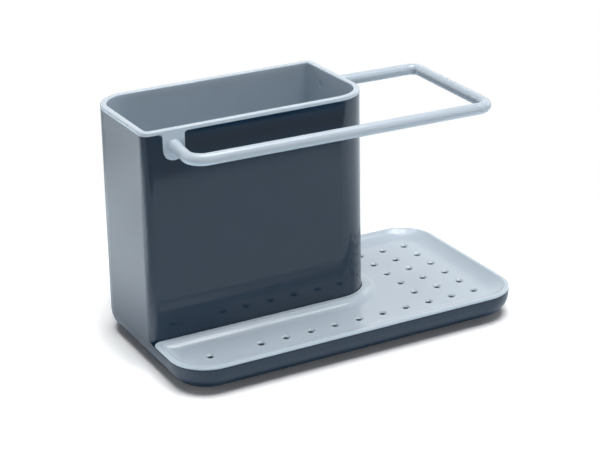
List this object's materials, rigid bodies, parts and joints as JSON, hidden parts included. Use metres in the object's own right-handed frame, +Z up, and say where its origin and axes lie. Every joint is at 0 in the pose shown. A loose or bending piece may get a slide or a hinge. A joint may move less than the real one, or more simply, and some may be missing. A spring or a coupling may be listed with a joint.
{
  "type": "kitchen sink caddy",
  "caption": "Counter-top sink caddy: a tall open bin with a lift-out liner and cloth rail stands on one end of a shallow tub with a perforated lift-out drip tray.",
  "frame": {"origin": "middle of the footprint, on the surface that the feet stand on", "axes": "+X along the tub, from the tower's end to the tray's end; +Y from front to back; +Z up"},
  "size_m": [0.205, 0.115, 0.1305],
  "materials": {
    "dark_plastic": "smooth dark slate grey plastic, satin to glossy",
    "pale_plastic": "smooth pale cool grey plastic, satin",
    "foot_rubber": "matt black rubber"
  },
  "bodies": {
    "base": {"outer_body": "dark_plastic", "foot_front_left": "foot_rubber", "foot_front_right": "foot_rubber", "foot_back_left": "foot_rubber", "foot_back_right": "foot_rubber"},
    "liner": {"inner_liner": "pale_plastic", "cloth_rail": "pale_plastic"},
    "tray": {"drip_tray": "pale_plastic"}
  },
  "joints": [
    {"name": "liner_lift", "type": "slide", "parent": "base", "child": "liner", "axis": [0, 0, 1], "range_m": [0, 0.14]},
    {"name": "tray_lift", "type": "slide", "parent": "base", "child": "tray", "axis": [0, 0, 1], "range_m": [0, 0.09]}
  ]
}
